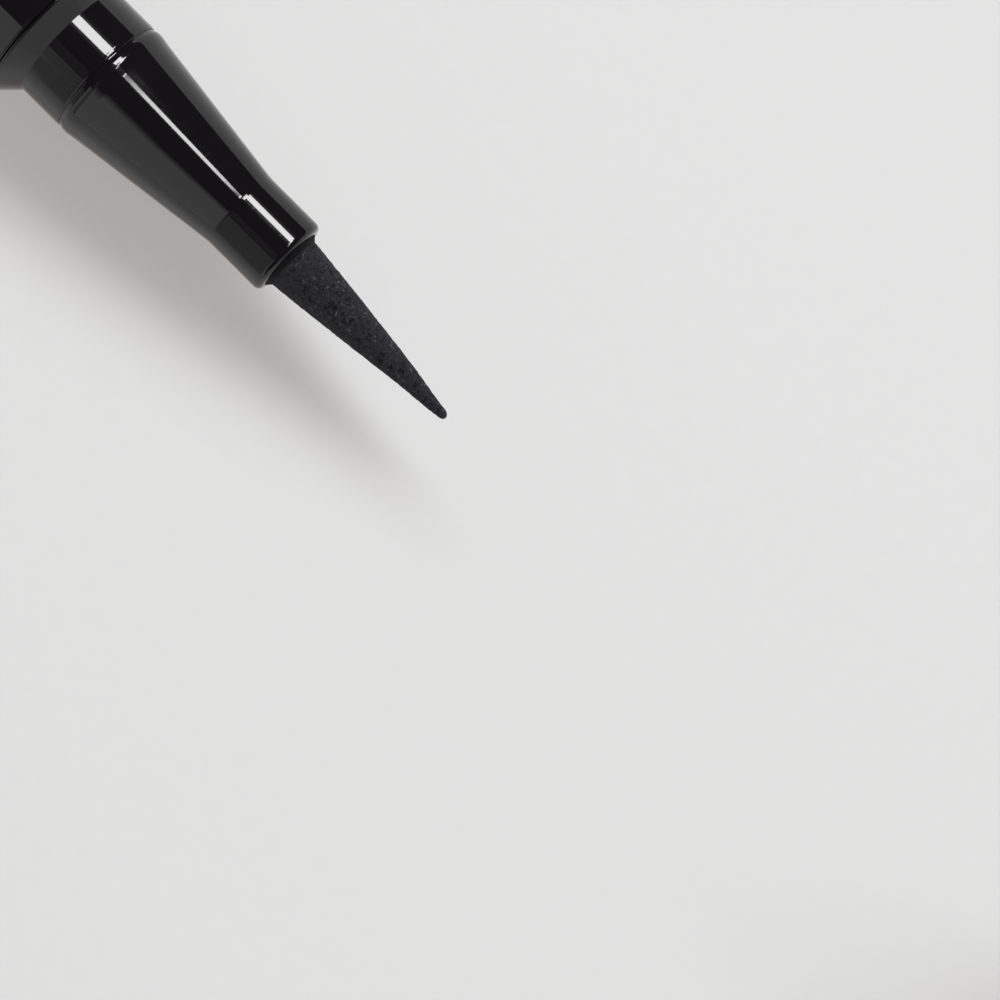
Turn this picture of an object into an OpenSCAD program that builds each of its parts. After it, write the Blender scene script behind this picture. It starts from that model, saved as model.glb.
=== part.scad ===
// Free-ink liquid eyeliner pen, lying on a table with its cap pulled off and laid down in line with it.
// +X runs along the pen from the tail to the nib, +Z is up and Z = 0 is the table.
// The origin is under the middle of the whole length, pen and cap together.

/* [Barrel] */
// Outside diameter of the barrel, the collar and the cap
body_d = 10; // [8.4:0.1:12]
// Length of the barrel tube
barrel_len = 85; // [65:1:110]
// Wall of the barrel tube
barrel_wall = 0.9; // [0.75:0.05:1.0]
// Rounding of the barrel tube's outer edges
barrel_edge = 0.12; // [0.06:0.02:0.2]

/* [Tail plug] */
// Length of the button that closes the barrel's rear end
tail_len = 2.2; // [1.6:0.1:5]
// Rounding of the button's rear edge
tail_round = 0.7; // [0.3:0.1:1.2]
// Diameter of the shallow dish in the tail face
tail_dish_d = 4.4; // [3:0.2:6]
// Depth of the dish in the tail face
tail_dish_depth = 0.3; // [0.1:0.1:0.6]
// Length of the plug's spigot inside the barrel
tail_spigot_len = 20; // [12:1:25]
// Wall of the plug's hollow spigot
tail_spigot_wall = 1.2; // [1:0.05:1.4]

/* [Ink tank] */
// Outside diameter of the tank
tank_d = 6; // [5.8:0.05:6.1]
// Bore around the ink controller, in the tank's front part and in the sleeve
tank_bore_d = 5; // [4.9:0.05:5.2]
// Bore of the ink chamber
chamber_d = 4.4; // [4.2:0.1:4.6]
// Length of the tank plug's spigot
tank_plug_len = 5; // [4:0.5:8]
// Diameter of the steel mixing ball, an eighth of an inch
ball_d = 3.175; // [2.5:0.025:3.2]

/* [Collar sleeve] */
// Height of the collar above the seat that the cap closes on
collar_h = 1.15; // [0.9:0.05:1.3]
// Length of the cap seat
seat_len = 2.75; // [2:0.05:5]
// Straight land at the collar's full diameter, in front of the barrel
collar_land = 0.2; // [0.1:0.05:0.6]
// Length of the spigot that is pressed into the barrel
spigot_len = 6; // [5:0.5:10]
// Depth of the socket that the tank's mouth sits in
socket_len = 4.5; // [3.5:0.25:5]

/* [Nose cone] */
// Height of the click bead above the cap seat
bead_h = 0.04; // [0.02:0.01:0.12]
// Width of the click bead
bead_w = 0.6; // [0.4:0.05:0.6]
// Length of the rim that carries the click bead
rim_len = 1; // [0.95:0.05:1.4]
// Length of the long taper
taper_len = 9.65; // [8:0.05:14]
// Diameter of the straight nose
nose_d = 5.05; // [4.9:0.05:5.2]
// Length of the straight nose
nose_len = 4.4; // [3:0.1:7]
// Step between the taper's small end and the nose
knuckle_step = 0.04; // [0.02:0.01:0.08]
// Rounding of the nose's front edge
nose_round = 0.5; // [0.2:0.05:0.55]
// Length of the cone's spigot inside the sleeve
cone_spigot_len = 3.55; // [2.5:0.05:4]
// Wall of the cone's spigot
cone_spigot_wall = 0.5; // [0.45:0.05:0.6]

/* [Nib] */
// Diameter of the nib where it leaves the nose
nib_d = 3.4; // [3.2:0.05:3.55]
// Length of the nib in front of the nose
nib_len = 12.4; // [8:0.1:15]
// Radius of the nib's rounded point
nib_point_r = 0.25; // [0.1:0.05:0.4]
// Diameter of the nib's shank inside the holder
shank_d = 2.8; // [2.6:0.05:2.9]
// Length of the nib holder
holder_len = 5.5; // [4:0.25:6]
// Diameter of the nib holder's body
holder_d = 3.7; // [3.5:0.05:3.75]
// Diameter of the fibre core that feeds the nib
core_d = 1.6; // [1.3:0.05:1.7]

/* [Ink controller] */
// Length of the comb of fins
comb_len = 18; // [12:0.5:22]
// Thickness of one fin
fin_t = 0.4; // [0.3:0.05:0.5]
// Pitch of the fins
fin_pitch = 0.8; // [0.7:0.05:1.2]
// Diameter of the tube that the fins stand on
hub_d = 2.6; // [2.4:0.1:3.4]
// Width of the fine slit that lets ink into the fins
slit_w = 0.3; // [0.2:0.05:0.4]
// Width of the air channel on the other side
vent_w = 1; // [0.8:0.1:1.4]
// Length of the plug that closes the ink chamber
controller_plug_len = 2.8; // [2:0.1:4]

/* [Cap] */
// Gap between the nib's point and the cap laid down in front of it
cap_gap = 50; // [20:5:90]
// Flat width of the cap's mouth, outside its 45 degree lead-in
mouth_rim = 0.4; // [0.3:0.05:0.6]
// Where the inner cap's chamber ends, as a share of the way from the inner cap to the cap's outside
cap_room_share = 0.23; // [0.2:0.01:0.3]
// Length of the crown that closes the cap
crown_len = 2.2; // [1.6:0.1:5]
// Rounding of the crown's edge
crown_round = 0.7; // [0.3:0.1:1.2]
// Length of the crown's spigot inside the cap
crown_spigot_len = 3.5; // [2.5:0.25:4.5]
// Outside diameter of the inner cap
inner_d = 6.8; // [6.7:0.05:6.9]
// Distance that the inner cap can be pushed back
inner_travel = 1; // [0.5:0.1:1.5]
// Length of the inner cap's spring as fitted
spring_len = 7; // [6:0.25:10]
// Wire diameter of the spring
wire_d = 0.4; // [0.3:0.05:0.5]
// Coil diameter of the spring, to the middle of the wire
spring_d = 4.3; // [4.1:0.05:4.5]

/* [Hidden] */
$fn = 96;

// Fits. Each is a gap on the radius or along the axis.
press_gap = 0.02;      // pressed and glued joints, drawn just clear
slide_gap = 0.05;      // the inner cap in its chamber, the fins in their bore
face_gap = 0.03;       // between shoulders that meet
seal_gap = 0.02;       // between a seal and what it seals on
click_gap = 0.015;     // between the cap's land and the click bead
stop_gap = 0.05;       // between a moving piece and what stops it
overrun = 1;           // how far a cut runs past what it cuts

// Edges, seal rings and snap ridges
arc_steps = 8;         // straight pieces in a rounded edge
ring_cord_d = 0.6;     // cord of the two seal rings
ring_side_gap = 0.08;  // room beside a seal ring in its groove
snap_h = 0.1;          // ridges that snap into the barrel
snap_w = 0.6;
snap_inset = 0.9;      // from a ridge to the barrel's mouth
sleeve_edge = 0.12;    // rounding of the sleeve's edges
collar_angle = 45;

// Small sizes of the tail plug and the tank
tail_web = 1.2;        // behind the button's face, inside the hollow spigot
tail_cup_depth = 2.5;  // socket that holds the tank's rear end
tank_seat_w = 0.5;     // width of the ledge that the tank plug sits on
tank_seat_t = 1.2;     // thickness of that ledge
tank_flange_t = 1;
tank_plug_core_d = 2.2;
tank_plug_web = 1;
tank_lead = 0.15;      // broken edges of the tank's ends
gasket_t = 0.5;
ball_gap = 0.08;       // under the ball
ball_place_share = 0.7; // of the ball's free way, from the tail

// Small sizes of the nose cone, the nib and its holder
rim_valley = 0.04;     // depth of the valleys beside the click bead
rim_valley_w = 0.3;    // the rim behind the bead
mouth_break = 0.18;    // broken edge inside the nose's mouth
seat_depth = 3;        // from the taper's small end back to the holder's shoulder
core_gap = 0.05;       // around the feed core
socket_depth = 2.6;    // hole in the rear of the nib
shank_short = 0.5;     // how far the shank stops short of the holder's rear
holder_flange_t = 0.8;
air_groove_w = 0.6;
air_groove_depth = 0.2;
air_grooves = 4;
nib_swell_share = 0.09; // how much fuller the nib is than a straight cone
nib_steps = 16;

// Small sizes of the ink controller
comb_web = 0.9;        // the disc in front of the fins
hub_gap = 0.9;         // from the controller's tube to the nib holder
guard_len = 2.6;       // tube around the feed core's end in the ink chamber
guard_wall = 0.45;
core_inset = 0.3;      // from the guard's end to the core's end
vent_hole_d = 0.4;

// Small sizes of the cap
land_short = 0.1;      // the cap's land stops this far short of the bead
cap_edge = 0.15;       // rounding of the cap's outer edges
cap_relief = 0.1;      // the cap's bore behind its land
lip_len = 1.8;         // the lip that guides the inner cap's mouth
inner_flange_t = 0.8;
inner_rib_w = 0.6;
inner_ribs = 4;
inner_room = 0.15;     // around the nose, inside the inner cap
inner_end_t = 0.9;
point_room = 1;        // in front of the nib's point when the cap is on
seal_len = 2.4;        // the soft seal in the inner cap's mouth
seal_t = 0.35;
seal_lip_w = 0.55;     // each of the seal's two lips
boss_d = 3.4;          // the boss that centres the spring
boss_h = 0.8;
crown_core_wall = 1;
crown_web = 0.9;       // from the cap's end to the spring's stop
spring_turns = 6;
rings_per_turn = 12;
wire_sides = 8;

// Radii
body_r = body_d / 2;
bore_r = body_r - barrel_wall;
spigot_r = bore_r - press_gap;
tank_r = tank_d / 2;
tank_bore_r = tank_bore_d / 2;
chamber_r = chamber_d / 2;
tank_socket_r = tank_r + press_gap;
ball_r = ball_d / 2;
seat_r = body_r - collar_h;
rim_r = seat_r - rim_valley;
bead_r = seat_r + bead_h;
nose_r = nose_d / 2;
knuckle_r = nose_r + knuckle_step;
nib_r = nib_d / 2;
nose_bore_r = nib_r + slide_gap;
shank_r = shank_d / 2;
holder_r = holder_d / 2;
cone_bore_r = tank_bore_r - press_gap - cone_spigot_wall;
core_bore_r = core_d / 2 + core_gap;
guard_r = core_bore_r + guard_wall;
hub_r = hub_d / 2;
fin_r = tank_bore_r - slide_gap;
cap_land_r = bead_r + click_gap;
cap_bore_r = cap_land_r + cap_relief;
lead_in_r = body_r - mouth_rim;
inner_r = inner_d / 2;
cap_room_r = inner_r + slide_gap + (body_r - inner_r - slide_gap) * cap_room_share;
inner_bore_r = nose_r + inner_room;
seal_bore_r = nose_r + seal_gap;
wire_r = wire_d / 2;

// Stations along the pen, from the tail face
barrel_front = tail_len + barrel_len;
land_front = barrel_front + collar_land;
collar_foot = land_front + collar_h;
seat_front = collar_foot + seat_len;
taper_rear = seat_front + rim_len;
knuckle = taper_rear + taper_len;
nose_front = knuckle + nose_len;
nib_point = nose_front + nib_len;
spigot_rear = barrel_front - spigot_len;
socket_front = spigot_rear + socket_len;
gasket_rear = socket_front - face_gap - gasket_t;
tank_front = gasket_rear - face_gap;
cone_rear = seat_front - cone_spigot_len;
comb_front = cone_rear - face_gap;
comb_rear = comb_front - comb_len;
controller_rear = comb_rear - controller_plug_len;
chamber_front = controller_rear - face_gap;
guard_rear = chamber_front - guard_len;
tail_plug_front = tail_len + tail_spigot_len;
tail_cup_floor = tail_plug_front - tail_cup_depth;
tank_plug_rear = tail_cup_floor + face_gap;
tank_rear = tank_plug_rear + tank_flange_t + face_gap;
tank_plug_front = tank_rear + tank_plug_len;
tank_ring_middle = tank_rear + tank_plug_len / 2;
controller_ring_middle = controller_rear + controller_plug_len / 2;
holder_front = knuckle - seat_depth;
holder_rear = holder_front - holder_len;
hub_front = holder_rear - hub_gap;
nib_rear = holder_rear + shank_short;
core_front = nib_rear + socket_depth - face_gap;
core_rear = guard_rear + core_inset;

// Distances into the cap, from its mouth
lead_in_len = lead_in_r - cap_land_r;
closed_mouth = collar_foot - (lead_in_r - seat_r) + stop_gap;
land_end = seat_front - closed_mouth - land_short;
inner_mouth = knuckle + stop_gap - closed_mouth;
lip_front = inner_mouth + lip_len;
inner_flange_rear = lip_front + face_gap;
inner_end = nib_point + point_room - closed_mouth;
spring_seat = inner_end + inner_end_t;
spring_stop = spring_seat + spring_len;
cap_len = spring_stop + crown_web;
cap_mouth = nib_point + cap_gap;
cap_travel = cap_mouth - closed_mouth;
whole_len = cap_mouth + cap_len + crown_len;

// The ball's free way, as stations of its middle
ball_first = tank_plug_front + ball_r + stop_gap;
ball_last = guard_rear - ball_r - stop_gap;
ball_rest = ball_first + (ball_last - ball_first) * ball_place_share;

// A rounded edge, as points from one angle to another
function edge(middle_r, middle_z, r, from, to) = [
    for (i = [0:arc_steps])
        let (angle = from + (to - from) * i / arc_steps)
            [middle_r + r * cos(angle), middle_z + r * sin(angle)]
];

// A low rounded ridge that stands on a turned piece
function ridge(foot_r, height, width, middle) = [
    for (i = [0:arc_steps])
        let (share = i / arc_steps)
            [foot_r + height * sin(180 * share), middle - width / 2 + width * share]
];

// The groove in the barrel's bore that a ridge snaps into, from front to rear
function snap_groove(middle) = [
    [bore_r, middle + snap_w / 2 + snap_h],
    [bore_r + snap_h, middle + snap_w / 2],
    [bore_r + snap_h, middle - snap_w / 2],
    [bore_r, middle - snap_w / 2 - snap_h]
];

// Puts what is drawn along Z, with the tail face at zero, on the pen's axis
module on_axis(station = 0)
    translate([station - whole_len / 2, 0, body_r]) rotate([0, 90, 0]) children();

// A turned piece from its outline, as points of radius and station
module turned(outline, station = 0)
    on_axis(station) rotate_extrude() polygon(outline);

// A tube with square ends
module tube(outer_r, inner_r, rear, front, station = 0)
    turned([[inner_r, rear], [outer_r, rear], [outer_r, front], [inner_r, front]], station);

// A ring of round cord that reaches out to the bore around it
module seal_ring(around_r, middle)
    on_axis(middle)
        rotate_extrude()
            translate([around_r - seal_gap - ring_cord_d / 2, 0]) circle(d = ring_cord_d);

// The groove that such a ring lies in
module ring_groove(around_r, middle)
    tube(around_r + overrun, around_r - 2 * seal_gap - ring_cord_d,
        middle - ring_cord_d / 2 - ring_side_gap, middle + ring_cord_d / 2 + ring_side_gap);

module barrel() {
    color([0.05, 0.05, 0.055])
        turned(concat(
            [[bore_r, tail_len]],
            edge(body_r - barrel_edge, tail_len + barrel_edge, barrel_edge, -90, 0),
            edge(body_r - barrel_edge, barrel_front - barrel_edge, barrel_edge, 0, 90),
            [[bore_r, barrel_front]],
            snap_groove(barrel_front - snap_inset),
            snap_groove(tail_len + snap_inset)
        ));
}

module tail_plug() {
    hollow_r = spigot_r - tail_spigot_wall;
    ledge_r = tank_r - tank_seat_w;
    button_front = tail_len - face_gap;
    color([0.05, 0.05, 0.055])
        turned(concat(
            [[0, tail_dish_depth],
            [tail_dish_d / 2 - tail_dish_depth, tail_dish_depth],
            [tail_dish_d / 2, 0]],
            edge(body_r - tail_round, tail_round, tail_round, -90, 0),
            edge(body_r - barrel_edge, button_front - barrel_edge, barrel_edge, 0, 90),
            [[spigot_r, button_front]],
            ridge(spigot_r, snap_h, snap_w, tail_len + snap_inset),
            [[spigot_r, tail_plug_front - snap_h],
            [spigot_r - snap_h, tail_plug_front],
            [tank_socket_r, tail_plug_front],
            [tank_socket_r, tail_cup_floor],
            [ledge_r, tail_cup_floor],
            [ledge_r, tail_cup_floor - tank_seat_t],
            [hollow_r, tail_cup_floor - tank_seat_t],
            [hollow_r, tail_len + tail_web],
            [0, tail_len + tail_web]]
        ));
}

module ink_tank() {
    color([0.86, 0.86, 0.84, 0.8])
        turned([
            [chamber_r, tank_rear],
            [tank_r - tank_lead, tank_rear],
            [tank_r, tank_rear + tank_lead],
            [tank_r, tank_front - tank_lead],
            [tank_r - tank_lead, tank_front],
            [tank_bore_r, tank_front],
            [tank_bore_r, chamber_front],
            [chamber_r, chamber_front]
        ]);
}

module tank_plug() {
    color([0.9, 0.9, 0.88])
        difference() {
            turned([
                [tank_plug_core_d / 2, tank_plug_rear],
                [tank_r, tank_plug_rear],
                [tank_r, tank_plug_rear + tank_flange_t],
                [chamber_r - press_gap, tank_plug_rear + tank_flange_t],
                [chamber_r - press_gap, tank_plug_front - tank_lead],
                [chamber_r - press_gap - tank_lead, tank_plug_front],
                [0, tank_plug_front],
                [0, tank_plug_front - tank_plug_web],
                [tank_plug_core_d / 2, tank_plug_front - tank_plug_web]
            ]);
            ring_groove(chamber_r, tank_ring_middle);
        }
}

module tank_plug_ring() {
    color([0.12, 0.12, 0.12]) seal_ring(chamber_r, tank_ring_middle);
}

module tank_gasket() {
    color([0.12, 0.12, 0.12])
        tube(tank_r - slide_gap, tank_bore_r + slide_gap, gasket_rear, gasket_rear + gasket_t);
}

// The ball lies on the floor of the ink chamber
module mixing_ball() {
    color([0.75, 0.76, 0.78])
        on_axis(ball_rest)
            translate([chamber_r - ball_r - ball_gap, 0, 0]) sphere(d = ball_d);
}

// The comb of thin fins around a tube, with a fine slit along the top and an air channel below
module ink_controller() {
    plug_r = tank_bore_r - press_gap;
    web_rear = comb_front - comb_web;
    gap_w = fin_pitch - fin_t;
    fins = floor((web_rear - comb_rear - gap_w) / fin_pitch);
    color([0.93, 0.93, 0.9])
        difference() {
            turned(concat(
                [[core_bore_r, guard_rear],
                [guard_r, guard_rear],
                [guard_r, controller_rear],
                [plug_r, controller_rear],
                [plug_r, comb_rear],
                [hub_r, comb_rear]],
                [for (i = [0:fins - 1], corner = [[hub_r, 0], [fin_r, 0], [fin_r, fin_t], [hub_r, fin_t]])
                    [corner[0], comb_rear + gap_w + fin_pitch * i + corner[1]]],
                [[hub_r, web_rear],
                [fin_r, web_rear],
                [fin_r, comb_front],
                [hub_r, comb_front],
                [hub_r, hub_front],
                [core_bore_r, hub_front]]
            ));
            ring_groove(tank_bore_r, controller_ring_middle);
            on_axis(comb_rear)
                translate([-tank_bore_r, -slit_w / 2, 0])
                    cube([tank_bore_r - hub_r + slit_w, slit_w, comb_len + overrun]);
            on_axis(comb_rear)
                translate([hub_r, -vent_w / 2, 0])
                    cube([tank_bore_r, vent_w, comb_len + overrun]);
            on_axis(controller_rear - overrun)
                translate([-guard_r - vent_hole_d / 2, 0, 0])
                    cylinder(d = vent_hole_d, h = controller_plug_len + 2 * overrun);
        }
}

module controller_seal_ring() {
    color([0.12, 0.12, 0.12]) seal_ring(tank_bore_r, controller_ring_middle);
}

module feed_core() {
    color([0.1, 0.1, 0.1])
        on_axis(core_rear) cylinder(d = core_d, h = core_front - core_rear);
}

module collar_sleeve() {
    collar_rear = barrel_front + face_gap;
    color([0.05, 0.05, 0.055])
        turned(concat(
            [[tank_bore_r, socket_front],
            [tank_socket_r, socket_front],
            [tank_socket_r, spigot_rear],
            [spigot_r - snap_h, spigot_rear],
            [spigot_r, spigot_rear + snap_h]],
            ridge(spigot_r, snap_h, snap_w, barrel_front - snap_inset),
            [[spigot_r, collar_rear]],
            edge(body_r - sleeve_edge, collar_rear + sleeve_edge, sleeve_edge, -90, 0),
            edge(body_r - sleeve_edge, land_front - sleeve_edge * tan(collar_angle / 2), sleeve_edge,
                0, collar_angle),
            [[seat_r, collar_foot]],
            edge(seat_r - sleeve_edge, seat_front - sleeve_edge, sleeve_edge, 0, 90),
            [[tank_bore_r, seat_front]]
        ));
}

module nose_cone() {
    rim_rear = seat_front + face_gap;
    bead_middle = rim_rear + rim_valley_w + bead_w / 2;
    color([0.05, 0.05, 0.055])
        turned(concat(
            [[cone_bore_r, cone_rear],
            [tank_bore_r - press_gap, cone_rear],
            [tank_bore_r - press_gap, rim_rear],
            [rim_r, rim_rear]],
            ridge(rim_r, bead_r - rim_r, bead_w, bead_middle),
            [[rim_r, taper_rear],
            [knuckle_r, knuckle],
            [nose_r, knuckle]],
            edge(nose_r - nose_round, nose_front - nose_round, nose_round, 0, 90),
            [[nose_bore_r + mouth_break, nose_front],
            [nose_bore_r, nose_front - mouth_break],
            [nose_bore_r, holder_front],
            [holder_r + press_gap, holder_front],
            [holder_r + press_gap, holder_rear + holder_flange_t],
            [cone_bore_r, holder_rear + holder_flange_t]]
        ));
}

module nib_holder() {
    flange_front = holder_rear + holder_flange_t - face_gap;
    color([0.85, 0.85, 0.85])
        difference() {
            turned([
                [shank_r + press_gap, holder_rear],
                [cone_bore_r - press_gap, holder_rear],
                [cone_bore_r - press_gap, flange_front],
                [holder_r, flange_front],
                [holder_r, holder_front - face_gap],
                [shank_r + press_gap, holder_front - face_gap]
            ]);
            for (i = [0:air_grooves - 1])
                on_axis(holder_rear - overrun)
                    rotate([0, 0, 360 * i / air_grooves])
                        translate([holder_r - air_groove_depth, -air_groove_w / 2, 0])
                            cube([cone_bore_r, air_groove_w, holder_len + 2 * overrun]);
        }
}

// The nib's radius at a share of its length from the point, a little fuller than a straight cone
function nib_radius(share) =
    nib_point_r + (nib_r - nib_point_r) * share * (1 + nib_swell_share * (1 - share * share));

module nib() {
    point_middle = nib_point - nib_point_r;
    color([0.2, 0.2, 0.21])
        turned(concat(
            [[core_bore_r, nib_rear],
            [shank_r, nib_rear],
            [shank_r, holder_front + face_gap],
            [nib_r, holder_front + face_gap]],
            [for (i = [0:nib_steps - 1])
                [nib_radius(1 - i / nib_steps), nose_front + (point_middle - nose_front) * i / nib_steps]],
            edge(0, point_middle, nib_point_r, 0, 90),
            [[0, nib_rear + socket_depth],
            [core_bore_r, nib_rear + socket_depth]]
        ));
}

module cap_shell() {
    color([0.05, 0.05, 0.055])
        turned(concat(
            [[cap_land_r, lead_in_len],
            [lead_in_r, 0]],
            edge(body_r - cap_edge, cap_edge, cap_edge, -90, 0),
            edge(body_r - barrel_edge, cap_len - barrel_edge, barrel_edge, 0, 90),
            [[cap_room_r, cap_len],
            [cap_room_r, lip_front],
            [inner_r + slide_gap, lip_front],
            [inner_r + slide_gap, inner_mouth],
            [cap_bore_r, inner_mouth],
            [cap_bore_r, land_end + cap_relief],
            [cap_land_r, land_end]]
        ), cap_mouth);
}

module inner_cap() {
    flange_r = cap_room_r - slide_gap;
    seal_room_r = inner_bore_r + seal_t;
    color([0.82, 0.82, 0.84])
        union() {
            turned([
                [seal_room_r, inner_mouth],
                [inner_r, inner_mouth],
                [inner_r, inner_flange_rear],
                [flange_r, inner_flange_rear],
                [flange_r, inner_flange_rear + inner_flange_t],
                [inner_r, inner_flange_rear + inner_flange_t],
                [inner_r, spring_seat],
                [boss_d / 2, spring_seat],
                [boss_d / 2, spring_seat + boss_h],
                [0, spring_seat + boss_h],
                [0, inner_end],
                [inner_bore_r, inner_end],
                [inner_bore_r, inner_mouth + seal_len],
                [seal_room_r, inner_mouth + seal_len]
            ], cap_mouth);
            intersection() {
                tube(flange_r, seal_room_r, inner_flange_rear, spring_seat, cap_mouth);
                for (i = [0:inner_ribs - 1])
                    on_axis(cap_mouth + inner_flange_rear)
                        rotate([0, 0, 360 * i / inner_ribs])
                            translate([seal_room_r, -inner_rib_w / 2, 0])
                                cube([flange_r, inner_rib_w, spring_seat - inner_flange_rear]);
            }
        }
}

module inner_cap_seal() {
    outer_r = inner_bore_r + seal_t - press_gap;
    front = inner_mouth + seal_len - face_gap;
    lip_h = inner_bore_r - seal_bore_r;
    color([0.35, 0.35, 0.36])
        turned([
            [outer_r, inner_mouth],
            [outer_r, front],
            [seal_bore_r, front],
            [seal_bore_r, front - seal_lip_w],
            [seal_bore_r + lip_h, front - seal_lip_w - lip_h],
            [seal_bore_r + lip_h, inner_mouth + lip_h + seal_lip_w + lip_h],
            [seal_bore_r, inner_mouth + lip_h + seal_lip_w],
            [seal_bore_r, inner_mouth + lip_h],
            [seal_bore_r + lip_h, inner_mouth]
        ], cap_mouth);
}

// One ring of points around the wire, at a share of the spring's length
function wire_ring(share) =
    let (
        turn = 360 * spring_turns * share,
        rise = wire_r + face_gap + (spring_len - wire_d - 2 * face_gap) * share
    )
    [for (k = [0:wire_sides - 1])
        let (
            around = 360 * k / wire_sides,
            from_axis = spring_d / 2 + wire_r * cos(around)
        )
        [from_axis * cos(turn), from_axis * sin(turn), rise + wire_r * sin(around)]];

spring_rings = [for (i = [0:spring_turns * rings_per_turn]) wire_ring(i / (spring_turns * rings_per_turn))];

// The least gap between one turn of the spring and the next, measured on their points
spring_gap = min([
    for (i = [0:len(spring_rings) - 1 - rings_per_turn], near = spring_rings[i],
        far = spring_rings[i + rings_per_turn]) norm(far - near)
]);
echo(spring_gap = spring_gap);

module cap_spring() {
    rings = len(spring_rings) - 1;
    walls = [for (i = [0:rings - 1], k = [0:wire_sides - 1], half = [0, 1])
        let (
            a = i * wire_sides + k,
            b = i * wire_sides + (k + 1) % wire_sides
        )
        half == 0 ? [a, b, b + wire_sides] : [a, b + wire_sides, a + wire_sides]];
    ends = [
        [for (k = [0:wire_sides - 1]) wire_sides - 1 - k],
        [for (k = [0:wire_sides - 1]) rings * wire_sides + k]
    ];
    color([0.75, 0.76, 0.78])
        on_axis(cap_mouth + spring_seat)
            polyhedron(points = [for (ring = spring_rings) each ring], faces = concat(walls, ends));
}

module crown_plug() {
    plug_r = cap_room_r - press_gap;
    spigot_end = cap_len - crown_spigot_len;
    shoulder = cap_len + face_gap;
    color([0.05, 0.05, 0.055])
        turned(concat(
            [[plug_r - crown_core_wall, spigot_end],
            [plug_r - snap_h, spigot_end],
            [plug_r, spigot_end + snap_h],
            [plug_r, shoulder]],
            edge(body_r - barrel_edge, shoulder + barrel_edge, barrel_edge, -90, 0),
            edge(body_r - crown_round, cap_len + crown_len - crown_round, crown_round, 0, 90),
            [[0, cap_len + crown_len],
            [0, spring_stop],
            [plug_r - crown_core_wall, spring_stop]]
        ), cap_mouth);
}

barrel();
tail_plug();
ink_tank();
tank_plug();
tank_plug_ring();
tank_gasket();
mixing_ball();
ink_controller();
controller_seal_ring();
feed_core();
collar_sleeve();
nose_cone();
nib_holder();
nib();
cap_shell();
inner_cap();
inner_cap_seal();
cap_spring();
crown_plug();
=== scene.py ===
"""Looks of the liquid eyeliner pen: smooth turned shells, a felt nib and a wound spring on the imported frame,
with their finishes, the lamps, the table top and the camera. Outlines are in millimetres, as on a drawing."""

import math

import bmesh
import bpy
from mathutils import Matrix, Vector


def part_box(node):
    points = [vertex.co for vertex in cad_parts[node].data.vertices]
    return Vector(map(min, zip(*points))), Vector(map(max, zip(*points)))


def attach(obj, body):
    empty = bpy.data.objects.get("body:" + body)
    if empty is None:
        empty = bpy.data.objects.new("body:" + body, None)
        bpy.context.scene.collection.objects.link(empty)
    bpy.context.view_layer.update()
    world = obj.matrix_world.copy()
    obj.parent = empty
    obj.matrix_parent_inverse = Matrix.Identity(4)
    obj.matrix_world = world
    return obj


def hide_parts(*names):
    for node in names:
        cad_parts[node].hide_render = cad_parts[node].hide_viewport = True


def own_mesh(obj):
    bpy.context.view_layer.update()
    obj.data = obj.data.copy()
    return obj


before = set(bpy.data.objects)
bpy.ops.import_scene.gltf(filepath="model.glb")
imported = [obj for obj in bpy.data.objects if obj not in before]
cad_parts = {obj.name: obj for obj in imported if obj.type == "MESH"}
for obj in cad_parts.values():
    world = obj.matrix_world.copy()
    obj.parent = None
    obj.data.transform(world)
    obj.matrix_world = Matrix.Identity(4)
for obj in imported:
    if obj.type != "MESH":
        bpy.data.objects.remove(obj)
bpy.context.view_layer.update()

MM = 0.001


def reach(node):
    """Where a node starts and ends along the pen, in millimetres."""
    low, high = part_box(node)
    return low.x / MM, high.x / MM


def radius(node):
    """A turned node's greatest radius, in millimetres."""
    low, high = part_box(node)
    return (high.z - low.z) / 2 / MM


# Places and sizes that the frame gives, in millimetres
BODY_R = radius("barrel")
AXIS_Z = BODY_R * MM
TAIL_END = reach("tail_plug")[0]
BARREL_REAR, BARREL_FRONT = reach("barrel")
CONE_REAR, NOSE_FRONT = reach("nose_cone")
NIB_REAR, NIB_POINT = reach("nib")
CAP_MOUTH, CAP_FRONT = reach("cap_shell")

# Gaps between pieces that are pressed, snapped or slid together
PRESS_GAP = 0.02
FACE_GAP = 0.03
SLIDE_GAP = 0.05
CLICK_GAP = 0.015

# Shells of the pen
BARREL_WALL = 0.9
EDGE = 0.12
TAIL_ROUND = 0.7
TAIL_DISH_R = 2.2
TAIL_DISH_DEPTH = 0.3
TAIL_WALL = 1.2
LEDGE_W = 0.5
TANK_CUP_DEPTH = 2.5
SNAP_H = 0.1
SNAP_W = 0.6
SNAP_INSET = 0.9
BORE_R = BODY_R - BARREL_WALL
SPIGOT_R = BORE_R - PRESS_GAP
TANK_R = radius("ink_tank")
TANK_SOCKET_R = TANK_R + PRESS_GAP
TANK_BORE_R = 2.5
SOCKET_DEPTH = 4.5

# Collar, seat, click bead, taper and nose
COLLAR_H = 1.15
COLLAR_LAND = 0.2
COLLAR_EDGE = 0.12
SEAM = 0.01
SEAT_LEN = 2.9
SEAT_R = BODY_R - COLLAR_H
BEAD_H = 0.04
BEAD_R = SEAT_R + BEAD_H
NOSE_R = 2.525
TAPER_SLOPE = 0.131
RUN_OUT_REAR = 13.32
RUN_OUT_LEN = 0.45
WALL_STEP = 0.03
LIP_BACK = 0.2
LIP_ROUND = 0.4
MOUTH_R = 2.06
SMALL_EDGE = 0.04
CONE_SPIGOT_WALL = 0.5
CONE_SPIGOT_R = TANK_BORE_R - PRESS_GAP
CONE_BORE_R = CONE_SPIGOT_R - CONE_SPIGOT_WALL
HOLDER_R = 1.85
HOLDER_FLANGE = 0.8
LAND_FRONT = BARREL_FRONT + COLLAR_LAND
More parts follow.
